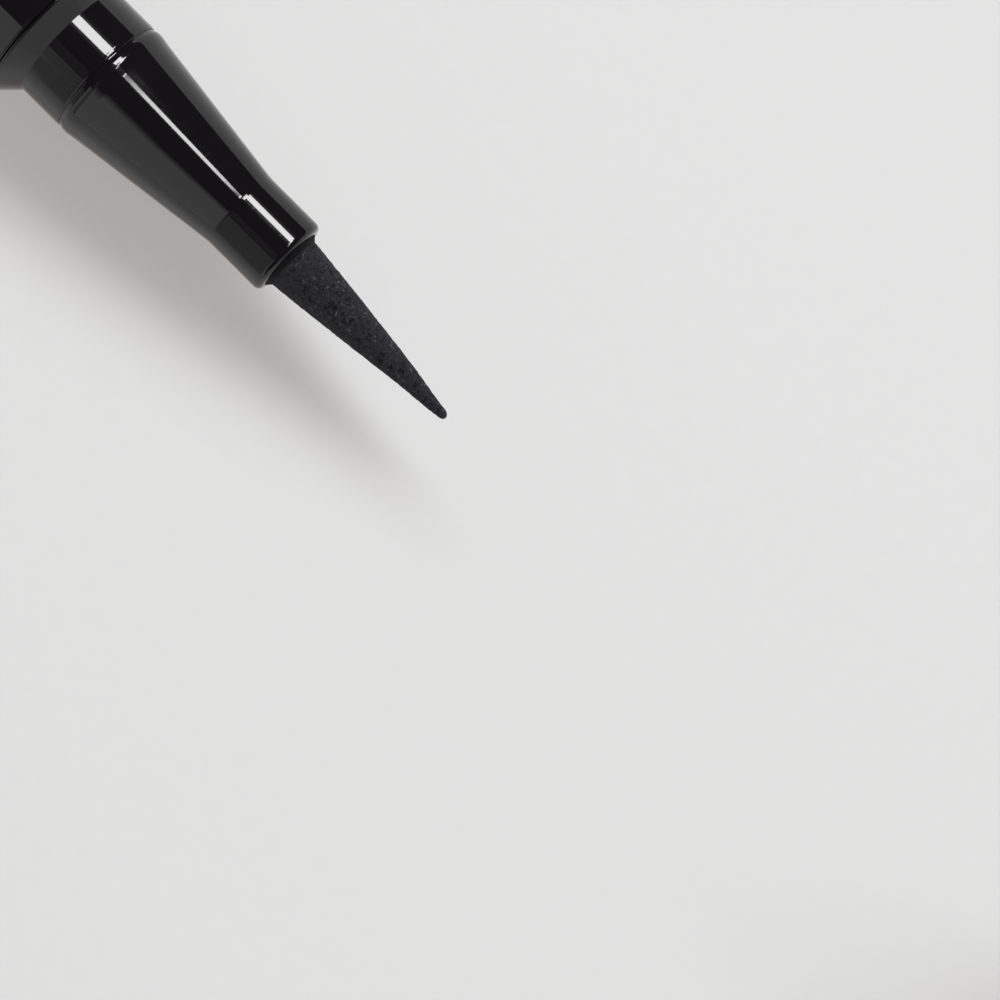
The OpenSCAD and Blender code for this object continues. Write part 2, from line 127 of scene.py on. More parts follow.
COLLAR_FOOT = LAND_FRONT + COLLAR_H
SEAT_FRONT = COLLAR_FOOT + SEAT_LEN
RIM_REAR = SEAT_FRONT + SEAM
RUN_OUT_START = COLLAR_FOOT + RUN_OUT_REAR
LIP_FRONT = NOSE_FRONT - LIP_BACK

# Nib, the lean of its point and the roughness of its felt
NIB_R = 1.7
NIB_POINT_R = 0.31
NIB_POINT_LEN = 0.5
NIB_BEND = 0.1
NIB_BEND_LEN = 3.5
ROOT_R = 2.0
ROOT_END = 0.08
NIB_SWELL = 0.09
SHANK_R = 1.4
CORE_HOLE_R = 0.85
CORE_HOLE_DEPTH = 2.6
FELT_LUMP = 0.6
FELT_PORE = 0.2
FELT_DEPTH = 0.03

# Cap and its spring
CAP_EDGE = 0.15
MOUTH_RIM = 0.4
CAP_LAND_R = BEAD_R + CLICK_GAP
CAP_LAND_END = 3.35
CAP_RELIEF = 0.1
LIP_LEN = 1.8
CROWN_ROUND = 0.7
CROWN_WALL = 1
INNER_R = 3.4
SEAL_R = radius("inner_cap_seal")
SEAL_BORE_R = NOSE_R + PRESS_GAP
SEAL_LIP_H = 0.13
SEAL_LIP_W = 0.55
SPRING_R = 2.15
WIRE_R = 0.2
SPRING_TURNS = 6

# Fineness of the meshes
SIDES = 192
FELT_SIDES = 288
FELT_STEPS = 150
ROUND_STEPS = 6
RIDGE_STEPS = 12
WIRE_SIDES = 16
WINDING_STEPS = 48
SUPPORT = 0.06
MERGE = 1e-7
SHARP_ANGLE = math.radians(30)
FELT_SHARP_ANGLE = math.radians(60)


# Turning on the pen's axis

def select_points(piece, wanted):
    """Selects the points of the mesh in edit mode for which wanted(x, r), in millimetres, is true."""
    bpy.ops.mesh.select_all(action="DESELECT")
    mesh = bmesh.from_edit_mesh(piece.data)
    for point in mesh.verts:
        place = piece.matrix_world @ point.co
        point.select = wanted(place.x / MM, (place.z - AXIS_Z) / MM)
    mesh.select_flush(True)
    bmesh.update_edit_mesh(piece.data)


def corner_offset(before, corner, after):
    """How far from a corner its rounding starts."""
    legs = [Vector((end[0] - corner[0], end[1] - corner[1])) for end in (before, after)]
    turn = math.pi - legs[0].angle(legs[1])
    return corner[2] * math.tan(turn / 2)


def with_supports(outline, closed):
    """Adds a point near each end of every straight wall, so that smooth shading bends only at the corners."""
    made = []
    for i, here in enumerate(outline):
        made.append(here)
        if i == len(outline) - 1 and not closed:
            break
        there = outline[(i + 1) % len(outline)]
        beyond = outline[(i + 2) % len(outline)]
        wall = Vector((there[0] - here[0], there[1] - here[1]))
        near = corner_offset(outline[i - 1], here, there) + SUPPORT
        far = wall.length - corner_offset(here, there, beyond) - SUPPORT
        if far - near > SUPPORT:
            step = wall / wall.length
            made += [(here[0] + step.x * at, here[1] + step.y * at, 0) for at in (near, far)]
    return made


def draw_outline(name, corners, closed):
    """Draws an outline of (x, r, rounding) above the axis, point by point, and rounds its corners."""
    outline = with_supports(corners, closed)
    bpy.ops.object.select_all(action="DESELECT")
    bpy.ops.mesh.primitive_plane_add(size=MM, location=(outline[0][0] * MM, 0, AXIS_Z + outline[0][1] * MM))
    piece = bpy.context.active_object
    piece.name = name
    piece.data.name = name
    bpy.ops.object.mode_set(mode="EDIT")
    bpy.ops.mesh.select_all(action="SELECT")
    bpy.ops.mesh.merge(type="CENTER")
    route = outline + outline[:1] if closed else outline
    for here, there in zip(route, route[1:]):
        step = ((there[0] - here[0]) * MM, 0, (there[1] - here[1]) * MM)
        bpy.ops.mesh.extrude_region_move(TRANSFORM_OT_translate={"value": step})
    bpy.ops.mesh.select_all(action="SELECT")
    bpy.ops.mesh.remove_doubles(threshold=MERGE)
    for i, corner in enumerate(outline):
        if corner[2]:
            select_points(piece, lambda x, r: math.hypot(x - corner[0], r - corner[1]) < PRESS_GAP / 2)
            offset = corner_offset(outline[i - 1], corner, outline[(i + 1) % len(outline)])
            bpy.ops.mesh.bevel(offset=offset * MM, affect="VERTICES", segments=ROUND_STEPS)
    return piece


def spin_round(piece, sides):
    """Spins the drawn outline once round the pen's axis and closes the shell."""
    bpy.ops.mesh.select_all(action="SELECT")
    bpy.ops.mesh.spin(steps=sides, angle=2 * math.pi, center=(0, 0, AXIS_Z), axis=(1, 0, 0))
    bpy.ops.mesh.select_all(action="SELECT")
    bpy.ops.mesh.remove_doubles(threshold=MERGE)
    bpy.ops.mesh.normals_make_consistent(inside=False)
    bpy.ops.object.mode_set(mode="OBJECT")
    bpy.ops.object.transform_apply(location=True, rotation=True, scale=True)


def finish_piece(piece, body, nodes, finish):
    """Gives a piece its body, the nodes that it stands for and its finish."""
    piece.data.materials.clear()
    piece.data.materials.append(finish)
    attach(piece, body)
    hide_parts(*nodes)


def turned(name, outline, body, node, finish, closed=True):
    """A smooth turned piece that stands for a turned node. An outline that starts and ends on the axis is
    drawn open."""
    piece = draw_outline(name, outline, closed)
    spin_round(piece, SIDES)
    bpy.ops.object.shade_smooth_by_angle(angle=SHARP_ANGLE)
    finish_piece(piece, body, [node], finish)


def ridge(foot_r, height, width, middle):
    """Points of a low rounded ridge, from the rear to the front."""
    shares = [i / RIDGE_STEPS for i in range(RIDGE_STEPS + 1)]
    rises = [height * math.sin(math.pi * share) for share in shares]
    return [(middle + width * (share - 0.5), foot_r + rise, 0) for share, rise in zip(shares, rises)]


def snap_groove(middle):
    """Points of the groove in the barrel's bore that a ridge snaps into, from the front to the rear."""
    return [
        (middle + SNAP_W / 2 + SNAP_H, BORE_R, 0),
        (middle + SNAP_W / 2, BORE_R + SNAP_H, 0),
        (middle - SNAP_W / 2, BORE_R + SNAP_H, 0),
        (middle - SNAP_W / 2 - SNAP_H, BORE_R, 0),
    ]


def sloped_wall(start, slopes):
    """Points of a wall whose slope changes evenly between the (distance from its start, slope) pairs."""
    points = [(start, 0)]
    for (near, slope), (far, next_slope) in zip(slopes, slopes[1:]):
        length = far - near
        steps = 1 if slope == next_slope else max(1, round(length / WALL_STEP))
        foot_r = points[-1][1]
        for i in range(1, steps + 1):
            share = i / steps
            rise = length * (slope * share + (next_slope - slope) * share * share / 2)
            points.append((start + near + length * share, foot_r + rise))
    return points


# Node trees

def add(tree, kind, inputs=(), **settings):
    """Adds a shader node; inputs are (socket, value or output to link) pairs."""
    made = tree.nodes.new(kind)
    for setting, value in settings.items():
        setattr(made, setting, value)
    for socket, value in inputs:
        if isinstance(value, bpy.types.NodeSocket):
            tree.links.new(value, made.inputs[socket])
        else:
            made.inputs[socket].default_value = value
    return made


def new_finish(name, color, roughness, **plain):
    """A material with its colour and constants on the shader's own sockets."""
    finish = bpy.data.materials.new(name)
    finish.use_nodes = True
    tree = finish.node_tree
    shader = tree.nodes["Principled BSDF"]
    shader.inputs["Base Color"].default_value = (*color, 1)
    shader.inputs["Roughness"].default_value = roughness
    for socket, value in plain.items():
        shader.inputs[socket.replace("_", " ")].default_value = value
    finish.diffuse_color = (*color, 1)
    return finish, tree, shader


def connect(tree, shader, **outputs):
    """Links outputs of other nodes to the shader's sockets."""
    for socket, output in outputs.items():
        tree.links.new(output, shader.inputs[socket.replace("_", " ")])


def object_place(tree, stretch=(1, 1, 1)):
    """Object coordinates, stretched by a Mapping node."""
    place = add(tree, "ShaderNodeTexCoord").outputs["Object"]
    return add(tree, "ShaderNodeMapping", [("Vector", place), ("Scale", stretch)]).outputs["Vector"]


def noise(tree, place, scale, detail, roughness=0.5, curl=0.0):
    """Noise with the given number of features a metre."""
    kind = [("Scale", scale), ("Detail", detail), ("Roughness", roughness), ("Distortion", curl)]
    made = add(tree, "ShaderNodeTexNoise", [("Vector", place), *kind])
    return made.outputs["Fac"]


def ranged(tree, value, span, to=(0, 1)):
    """The value with its span stretched to another and cut off at the ends."""
    ends = [("From Min", span[0]), ("From Max", span[1]), ("To Min", to[0]), ("To Max", to[1])]
    made = add(tree, "ShaderNodeMapRange", [("Value", value), *ends])
    return made.outputs["Result"]


def summed(tree, one, other):
    """The sum of two values."""
    return add(tree, "ShaderNodeMath", [(0, one), (1, other)], operation="ADD").outputs["Value"]


def mixed(tree, share, one, other):
    """A colour between two, by a share from a texture. Each is a colour or an output."""
    ends = [end if isinstance(end, bpy.types.NodeSocket) else (*end, 1) for end in (one, other)]
    made = add(tree, "ShaderNodeMix", [(0, share), (6, ends[0]), (7, ends[1])], data_type="RGBA")
    return made.outputs[2]


def bump(tree, height, depth, before=None):
    """A normal that dents the surface by the depth in metres, on top of the dents before it."""
    made = add(tree, "ShaderNodeBump", [("Height", height), ("Distance", depth), ("Strength", 1)])
    if before:
        tree.links.new(before, made.inputs["Normal"])
    return made.outputs["Normal"]


# Finishes

# Middle, darkest and palest colour of the gloss, of the feed core and of the paper
GLOSS_TONES = [(0.0060, 0.0048, 0.0060), (0.0052, 0.0040, 0.0052), (0.0068, 0.0056, 0.0068)]
CORE_TONES = [(0.02, 0.02, 0.022), (0.008, 0.008, 0.009), (0.045, 0.045, 0.05)]
PAPER_TONES = [(0.742, 0.742, 0.742), (0.734, 0.734, 0.734), (0.750, 0.750, 0.750)]

# Colours of the felt
FELT_TONE = (0.022, 0.0215, 0.027)
FELT_DARK = (0.0145, 0.0141, 0.0180)
FELT_PALE = (0.0260, 0.0254, 0.0320)
FELT_GRAIN = (0.030, 0.0294, 0.0368)
FELT_PORES = (0.0040, 0.0039, 0.0051)
FELT_ENDS = (0.084, 0.082, 0.100)
# Painted shade: the near black of the nib's root, where the nose's lip shades it
FELT_ROOT_SHADE = (0.003, 0.003, 0.0036)

# The middle of a noise, where most of its values lie
NOISE_MIDDLE = (0.3, 0.7)


def gloss_black_plastic():
    """High gloss moulded black: cloudy polish, fine hairlines round the axis and a faint waviness."""
    tone, dark, pale = GLOSS_TONES
    finish, tree, shader = new_finish("gloss_black_plastic", tone, roughness=0.05)
    place = object_place(tree)
    around = object_place(tree, stretch=(60, 1, 1))
    cloudy = noise(tree, place, scale=300, detail=4)
    hairs = ranged(tree, noise(tree, around, scale=260, detail=3), (0.62, 0.72))
    polish = ranged(tree, cloudy, NOISE_MIDDLE, (0.035, 0.075))
    worn = ranged(tree, hairs, (0, 1), (0, 0.05))
    waves = bump(tree, noise(tree, place, scale=700, detail=1), depth=1.0e-6)
    connect(tree, shader, Base_Color=mixed(tree, cloudy, dark, pale), Roughness=summed(tree, polish, worn),
            Normal=bump(tree, hairs, depth=1.5e-7, before=waves))
    return finish


def nib_felt():
    """Porous fibre soaked with ink: curled dark pores, grey fibre ends, a dull grain and painted root shade.
    """
    finish, tree, shader = new_finish("nib_felt", FELT_TONE, roughness=0.85, Diffuse_Roughness=0.9,
                                      Sheen_Weight=0.02, Sheen_Roughness=0.5, Specular_IOR_Level=0.18)
    place = object_place(tree)
    patches = noise(tree, place, scale=900, detail=3)
    grain = noise(tree, place, scale=2600, detail=4, roughness=0.6, curl=1.2)
    fine = noise(tree, place, scale=9000, detail=2)
    fibres = noise(tree, place, scale=4200, detail=3, roughness=0.6, curl=0.6)
    ground = mixed(tree, patches, FELT_DARK, FELT_PALE)
    grained = mixed(tree, ranged(tree, fine, (0.35, 0.65), (0, 0.5)), ground, FELT_GRAIN)
    pitted = mixed(tree, ranged(tree, grain, (0.40, 0.48), (1, 0)), grained, FELT_PORES)
    speckled = mixed(tree, ranged(tree, fibres, (0.60, 0.70)), pitted, FELT_ENDS)
    x = add(tree, "ShaderNodeSeparateXYZ", [("Vector", place)]).outputs["X"]
    # Painted shade: the felt just in front of the nose is darkened to stand in for the lip's shadow on the
    # root
    root_shade = ranged(tree, x, (NOSE_FRONT * MM, (NOSE_FRONT + 2 * ROOT_END) * MM), (1, 0))
    connect(tree, shader, Base_Color=mixed(tree, root_shade, speckled, FELT_ROOT_SHADE),
            Roughness=ranged(tree, grain, NOISE_MIDDLE, (0.6, 0.95)),
            Normal=bump(tree, summed(tree, grain, fine), depth=9e-5))
    return finish


def moulded_plastic(name, color, shade, roughness, **plain):
    """Plain moulded plastic with a soft cloudiness and a fine grain."""
    finish, tree, shader = new_finish(name, color, roughness, **plain)
    place = object_place(tree)
    cloudy = noise(tree, place, scale=420, detail=3)
    grain = noise(tree, place, scale=6000, detail=2)
    connect(tree, shader, Base_Color=mixed(tree, cloudy, shade, color),
            Roughness=ranged(tree, cloudy, NOISE_MIDDLE, (roughness * 0.8, roughness * 1.25)),
            Normal=bump(tree, grain, depth=1.5e-6))
    return finish


def soft_rubber(name, color, bloom, roughness):
    """Matt rubber with a dusty bloom."""
    finish, tree, shader = new_finish(name, color, roughness, Specular_IOR_Level=0.4)
    place = object_place(tree)
    dusty = ranged(tree, noise(tree, place, scale=900, detail=5, roughness=0.6), (0.45, 0.7))
    grain = noise(tree, place, scale=8000, detail=3)
    connect(tree, shader, Base_Color=mixed(tree, dusty, color, bloom),
            Roughness=ranged(tree, dusty, (0, 1), (roughness, 0.9)),
            Normal=bump(tree, grain, depth=4e-6))
    return finish


def bare_metal(name, color, roughness, stretch):
    """Bare metal with drawn or ground lines."""
    finish, tree, shader = new_finish(name, color, roughness, Metallic=1)
    lines = noise(tree, object_place(tree, stretch), scale=3000, detail=3)
    connect(tree, shader, Roughness=ranged(tree, lines, NOISE_MIDDLE, (roughness * 0.6, roughness * 1.5)),
            Normal=bump(tree, lines, depth=6e-7))
    return finish


def ink_fibre():
    """Bonded fibres that run along the feed core, soaked with ink."""
    tone, dark, pale = CORE_TONES
    finish, tree, shader = new_finish("ink_fibre", tone, roughness=0.7)
    strands = noise(tree, object_place(tree, stretch=(0.04, 1, 1)), scale=14000, detail=3)
    connect(tree, shader, Base_Color=mixed(tree, strands, dark, pale), Normal=bump(tree, strands, depth=2e-5))
    return finish


def pale_paper():
    """Drawing paper with a faint tooth."""
    tone, dark, pale = PAPER_TONES
    finish, tree, shader = new_finish("pale_paper", tone, roughness=0.9, Specular_IOR_Level=0.1)
    tooth = noise(tree, object_place(tree), scale=900, detail=4)
    connect(tree, shader, Base_Color=mixed(tree, tooth, dark, pale), Normal=bump(tree, tooth, depth=1e-5))
    return finish


GLOSS_BLACK = gloss_black_plastic()
FELT = nib_felt()
NATURAL = moulded_plastic("natural_plastic", (0.78, 0.79, 0.77), (0.70, 0.71, 0.69), 0.28,
                          Subsurface_Weight=0.35, Subsurface_Scale=0.002)
WHITE = moulded_plastic("white_plastic", (0.85, 0.85, 0.82), (0.78, 0.78, 0.75), 0.42)
BLACK_RUBBER = soft_rubber("black_rubber", (0.02, 0.02, 0.02), (0.05, 0.05, 0.05), 0.6)
GREY_ELASTOMER = soft_rubber("grey_elastomer", (0.12, 0.12, 0.125), (0.18, 0.18, 0.185), 0.55)
STEEL = bare_metal("polished_steel", (0.72, 0.73, 0.75), 0.08, stretch=(1, 1, 1))
SPRING_STEEL = bare_metal("spring_wire", (0.62, 0.63, 0.65), 0.25, stretch=(0.3, 1, 1))
CORE_FIBRE = ink_fibre()

NODE_FINISHES = {
    "ink_tank": NATURAL,
    "tank_plug": WHITE,
    "tank_plug_ring": BLACK_RUBBER,
    "tank_gasket": BLACK_RUBBER,
    "mixing_ball": STEEL,
    "ink_controller": WHITE,
    "controller_seal_ring": BLACK_RUBBER,
    "feed_core": CORE_FIBRE,
    "nib_holder": WHITE,
    "inner_cap": NATURAL,
}


def dress_nodes():
    """The pieces inside the pen keep their nodes and get their finishes."""
    for name, finish in NODE_FINISHES.items():
        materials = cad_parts[name].data.materials
        materials.clear()
        materials.append(finish)


# Shells of the pen

def barrel_shell():
    """The barrel's tube, with a snap groove near each end of its bore."""
    outline = [
        (BARREL_REAR, BORE_R, 0),
        (BARREL_REAR, BODY_R, EDGE),
        (BARREL_FRONT, BODY_R, EDGE),
        (BARREL_FRONT, BORE_R, 0),
        *snap_groove(BARREL_FRONT - SNAP_INSET),
        *snap_groove(BARREL_REAR + SNAP_INSET),
    ]
    turned("barrel_shell", outline, "pen", "barrel", GLOSS_BLACK)


def tail_button():
    """The button with its dished face and the hollow spigot that holds the tank's end."""
    plug_front = reach("tail_plug")[1]
    button_front = BARREL_REAR - FACE_GAP
    cup_floor = plug_front - TANK_CUP_DEPTH
    ledge_rear = cup_floor - TAIL_WALL
    hollow_rear = BARREL_REAR + TAIL_WALL
    hollow_r = SPIGOT_R - TAIL_WALL
    outline = [
        (TAIL_END + TAIL_DISH_DEPTH, 0, 0),
        (TAIL_END + TAIL_DISH_DEPTH, TAIL_DISH_R - TAIL_DISH_DEPTH, EDGE),
        (TAIL_END, TAIL_DISH_R, EDGE),
        (TAIL_END, BODY_R, TAIL_ROUND),
        (button_front, BODY_R, EDGE),
        (button_front, SPIGOT_R, 0),
        *ridge(SPIGOT_R, SNAP_H, SNAP_W, BARREL_REAR + SNAP_INSET),
        (plug_front - SNAP_H, SPIGOT_R, 0),
        (plug_front, SPIGOT_R - SNAP_H, 0),
        (plug_front, TANK_SOCKET_R, 0),
        (cup_floor, TANK_SOCKET_R, 0),
        (cup_floor, TANK_R - LEDGE_W, 0),
        (ledge_rear, TANK_R - LEDGE_W, 0),
        (ledge_rear, hollow_r, 0),
        (hollow_rear, hollow_r, 0),
        (hollow_rear, 0, 0),
    ]
    turned("tail_button", outline, "pen", "tail_plug", GLOSS_BLACK,
           closed=False)


# Slopes of the seat and of its eased front edge, at distances from the collar
SEAT_SLOPES = [(0, 0), (2.62, 0), (2.70, -0.10), (2.84, -0.13), (SEAT_LEN, -1)]


def collar_and_seat():
    """The 45 degree collar, the seat that the cap closes on and the spigot in the barrel."""
    spigot_rear = reach("collar_sleeve")[0]
    collar_rear = BARREL_FRONT + FACE_GAP
    socket_front = spigot_rear + SOCKET_DEPTH
    outline = [
        (socket_front, TANK_BORE_R, 0),
        (socket_front, TANK_SOCKET_R, 0),
        (spigot_rear, TANK_SOCKET_R, 0),
        (spigot_rear, SPIGOT_R - SNAP_H, 0),
        (spigot_rear + SNAP_H, SPIGOT_R, 0),
        *ridge(SPIGOT_R, SNAP_H, SNAP_W, BARREL_FRONT - SNAP_INSET),
        (collar_rear, SPIGOT_R, 0),
        (collar_rear, BODY_R, COLLAR_EDGE),
        (LAND_FRONT, BODY_R, COLLAR_EDGE),
        *[(x, SEAT_R + drop, 0) for x, drop in sloped_wall(COLLAR_FOOT, SEAT_SLOPES)],
        (SEAT_FRONT, TANK_BORE_R, 0),
    ]
    turned("collar_and_seat", outline, "pen", "collar_sleeve", GLOSS_BLACK)


# Slopes of the ring behind the taper, at distances from its foot
RING_SLOPES = [
    (0, 0), (0.12, 0.35), (0.24, 0.35), (0.34, 0.12), (0.62, -0.08), (0.70, -0.175), (1.22, -0.175),
    (1.28, -TAPER_SLOPE),
]


def ring_and_taper():
    """The wall from the ring's foot over the click bead and down the taper, which runs out into the nose."""
    far = RUN_OUT_START - RIM_REAR
    slopes = RING_SLOPES + [(far, -TAPER_SLOPE), (far + RUN_OUT_LEN, 0)]
    wall = sloped_wall(RIM_REAR, slopes)
    lift = NOSE_R - wall[-1][1]
    return [(x, r + lift, 0) for x, r in wall]


def nose_taper():
    """The ring with the click bead, the long taper, its run-out and the nose with its rounded lip."""
    holder_rear = reach("nib_holder")[0]
    holder_front = reach("nib_holder")[1] + FACE_GAP
    nose_bore_r = NIB_R + SLIDE_GAP
    outline = [
        (CONE_REAR, CONE_BORE_R, 0),
        (CONE_REAR, CONE_SPIGOT_R, 0),
        (RIM_REAR, CONE_SPIGOT_R, 0),
        *ring_and_taper(),
        (LIP_FRONT, NOSE_R, LIP_ROUND),
        (LIP_FRONT, MOUTH_R, 0),
        (LIP_FRONT - MOUTH_R + nose_bore_r, nose_bore_r, SMALL_EDGE),
        (holder_front, nose_bore_r, 0),
        (holder_front, HOLDER_R + PRESS_GAP, 0),
        (holder_rear + HOLDER_FLANGE, HOLDER_R + PRESS_GAP, 0),
        (holder_rear + HOLDER_FLANGE, CONE_BORE_R, 0),
    ]
    turned("nose_taper", outline, "pen", "nose_cone", GLOSS_BLACK)


# Nib

def nib_radius(share):
    """The nib's radius at a share of its length from the point, a little fuller than a straight cone."""
    return NIB_POINT_R + (NIB_R - NIB_POINT_R) * share * (1 + NIB_SWELL * (1 - share * share))


def roughen(piece, kind, size):
    """Moves the felt's surface in and out by a procedural texture of the given size, in millimetres."""
    texture = bpy.data.textures.new("felt_" + kind.lower(), kind)
    texture.noise_scale = size * MM
    displace = piece.modifiers.new("felt_" + kind.lower(), "DISPLACE")
    displace.texture = texture
    displace.texture_coords = "LOCAL"
    displace.strength = FELT_DEPTH * MM
    displace.mid_level = 0.5
    bpy.ops.object.modifier_apply(modifier=displace.name)


def bend_point(piece):
    """Leans the nib's point a little toward -Y, as use does."""
    bpy.ops.object.mode_set(mode="EDIT")
    select_points(piece, lambda x, r: x > NIB_POINT - NIB_POINT_LEN)
    bpy.ops.transform.translate(value=(0, -NIB_BEND * MM, 0), use_proportional_edit=True,
                                proportional_edit_falloff="SMOOTH", proportional_size=NIB_BEND_LEN * MM)
    bpy.ops.object.mode_set(mode="OBJECT")


def felt_nib():
    """The pointed nib, with the swell that fills the nose's mouth and the pores in its surface."""
    shoulder = reach("nib_holder")[1] + 2 * FACE_GAP
    point_middle = NIB_POINT - NIB_POINT_LEN
    root_end = NOSE_FRONT + ROOT_END
    taper = [
        (root_end + (point_middle - root_end) * i / FELT_STEPS, nib_radius(1 - i / FELT_STEPS), 0)
        for i in range(FELT_STEPS)
    ]
    point = [
        (point_middle + NIB_POINT_LEN * math.sin(math.pi / 2 * i / ROUND_STEPS),
         NIB_POINT_R * math.cos(math.pi / 2 * i / ROUND_STEPS), 0)
        for i in range(ROUND_STEPS)
    ]
    outline = [
        (NIB_REAR + CORE_HOLE_DEPTH, 0, 0),
        (NIB_REAR + CORE_HOLE_DEPTH, CORE_HOLE_R, 0),
        (NIB_REAR, CORE_HOLE_R, 0),
        (NIB_REAR, SHANK_R, 0),
        (shoulder, SHANK_R, 0),
        (shoulder, NIB_R, 0),
        (LIP_FRONT - ROOT_R + NIB_R, NIB_R, 0),
        (LIP_FRONT, ROOT_R, 0),
        *taper,
        *point,
        (NIB_POINT, 0, 0),
    ]
    piece = draw_outline("felt_nib", outline, closed=False)
    spin_round(piece, FELT_SIDES)
    roughen(piece, "CLOUDS", FELT_LUMP)
    roughen(piece, "STUCCI", FELT_PORE)
    bend_point(piece)
    bpy.ops.object.shade_smooth_by_angle(angle=FELT_SHARP_ANGLE)
    finish_piece(piece, "pen", ["nib"], FELT)


# Cap

def cap_tube():
    """The cap's shell with its 45 degree mouth, the land that clicks over the bead and the lip inside."""
    lead_in_r = BODY_R - MOUTH_RIM
    bore_r = CAP_LAND_R + CAP_RELIEF
    room_r = radius("inner_cap") + SLIDE_GAP
    lip_rear = reach("inner_cap")[0]
    lip_front = lip_rear + LIP_LEN
    outline = [
        (CAP_MOUTH + lead_in_r - CAP_LAND_R, CAP_LAND_R, 0),
        (CAP_MOUTH, lead_in_r, SMALL_EDGE),
        (CAP_MOUTH, BODY_R, CAP_EDGE),
        (CAP_FRONT, BODY_R, EDGE),
        (CAP_FRONT, room_r, 0),
        (lip_front, room_r, 0),
        (lip_front, INNER_R + SLIDE_GAP, 0),
        (lip_rear, INNER_R + SLIDE_GAP, 0),
        (lip_rear, bore_r, 0),
        (CAP_MOUTH + CAP_LAND_END + CAP_RELIEF, bore_r, 0),
        (CAP_MOUTH + CAP_LAND_END, CAP_LAND_R, 0),
    ]
    turned("cap_tube", outline, "cap", "cap_shell", GLOSS_BLACK)


def cap_crown():
    """The crown that closes the cap, with the hollow that the spring stands in."""
    spigot_end, crown_front = reach("crown_plug")
    plug_r = radius("inner_cap") + SLIDE_GAP - PRESS_GAP
    hollow_r = plug_r - CROWN_WALL
    shoulder = CAP_FRONT + FACE_GAP
    spring_stop = reach("cap_spring")[1] + FACE_GAP
    outline = [
        (spring_stop, 0, 0),
        (spring_stop, hollow_r, 0),
        (spigot_end, hollow_r, 0),
        (spigot_end, plug_r - SNAP_H, 0),
        (spigot_end + SNAP_H, plug_r, 0),
        (shoulder, plug_r, 0),
        (shoulder, BODY_R, EDGE),
        (crown_front, BODY_R, CROWN_ROUND),
        (crown_front, 0, 0),
    ]
    turned("cap_crown", outline, "cap", "crown_plug", GLOSS_BLACK,
           closed=False)


def lip_seal():
    """The soft ring with two lips in the inner cap's mouth."""
    rear, front = reach("inner_cap_seal")
    valley_r = SEAL_BORE_R + SEAL_LIP_H
    outline = [
        (rear, valley_r, SMALL_EDGE),
        (rear, SEAL_R, 0),
        (front, SEAL_R, 0),
        (front, SEAL_BORE_R, SMALL_EDGE),
        (front - SEAL_LIP_W, SEAL_BORE_R, SMALL_EDGE),
        (front - SEAL_LIP_W - SEAL_LIP_H, valley_r, 0),
        (rear + 2 * SEAL_LIP_H + SEAL_LIP_W, valley_r, 0),
        (rear + SEAL_LIP_H + SEAL_LIP_W, SEAL_BORE_R, SMALL_EDGE),
        (rear + SEAL_LIP_H, SEAL_BORE_R, SMALL_EDGE),
    ]
    turned("lip_seal", outline, "inner_cap", "inner_cap_seal", GREY_ELASTOMER)


def return_spring():
    """The coil spring behind the inner cap: one round wire, wound by the screw modifier."""
    rear, front = reach("cap_spring")
    pitch = (front - rear - 2 * WIRE_R) / SPRING_TURNS
    bpy.ops.object.select_all(action="DESELECT")
    bpy.ops.mesh.primitive_circle_add(vertices=WIRE_SIDES, radius=WIRE_R * MM, location=(0, 0, 0),
                                      rotation=(math.pi / 2, 0, 0))
    piece = bpy.context.active_object
    piece.name = "return_spring"
    piece.data.name = "return_spring"
    bpy.ops.object.transform_apply(location=True, rotation=True, scale=True)
    bpy.ops.object.mode_set(mode="EDIT")
    bpy.ops.mesh.select_all(action="SELECT")
    bpy.ops.transform.translate(value=(0, 0, SPRING_R * MM))
    bpy.ops.object.mode_set(mode="OBJECT")
    winding = piece.modifiers.new("winding", "SCREW")
    winding.axis = "X"
    winding.angle = 2 * math.pi
    winding.screw_offset = pitch * MM
    winding.iterations = SPRING_TURNS
    winding.steps = WINDING_STEPS
    winding.render_steps = WINDING_STEPS
    bpy.ops.object.modifier_apply(modifier=winding.name)
    piece.location = ((rear + WIRE_R) * MM, 0, AXIS_Z)
    bpy.ops.object.transform_apply(location=True, rotation=True, scale=True)
    bpy.ops.object.mode_set(mode="EDIT")
    bpy.ops.mesh.select_all(action="SELECT")
    bpy.ops.mesh.fill_holes(sides=0)
    bpy.ops.mesh.normals_make_consistent(inside=False)
    bpy.ops.object.mode_set(mode="OBJECT")
    bpy.ops.object.shade_smooth_by_angle(angle=SHARP_ANGLE)
    finish_piece(piece, "cap", ["cap_spring"], SPRING_STEEL)
    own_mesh(piece)


# Table top

TABLE_SIZE = 6


def table_top():
    """The sheet of pale paper that everything lies on."""
    bpy.ops.object.select_all(action="DESELECT")
    bpy.ops.mesh.primitive_plane_add(size=TABLE_SIZE, location=(0, 0, 0))
    paper = bpy.context.active_object
    paper.name = "table_top"
    paper.data.materials.append(pale_paper())


# Lamps

# What the lamps and the front card are aimed at, and how far the lamps in the gloss stand from it, in metres
AIM = Vector((-0.008, 0, AXIS_Z))
LAMP_WAY = 0.6

# The lamp beside the pen, with lean and spread in degrees and distance and ends in metres, and the even fill
KEY_LEAN = 44
KEY_SPREAD = 18
KEY_AWAY = 1.0
KEY_ENDS = (-1.4, 2.2)
KEY_GLOW = 4.58
KEY_COLOR = (0.904, 0.960, 1.0)
FILL_COLOR = (1.0, 0.933, 0.885)
FILL_SHARE = 0.463

# Stretches along the pen, in metres from the aim
FAR_PART = (-1.2, -0.25)
REAR_PART = (-0.25, -0.131)
MIDDLE_PART = (-0.131, -0.01)
SEAT_PART = (-0.25, -0.079)
NOSE_PART = (-0.079, -0.03)
RING_PART = (-0.03, 0.02)
FRONT_PART = (0.0469, 0.0815)

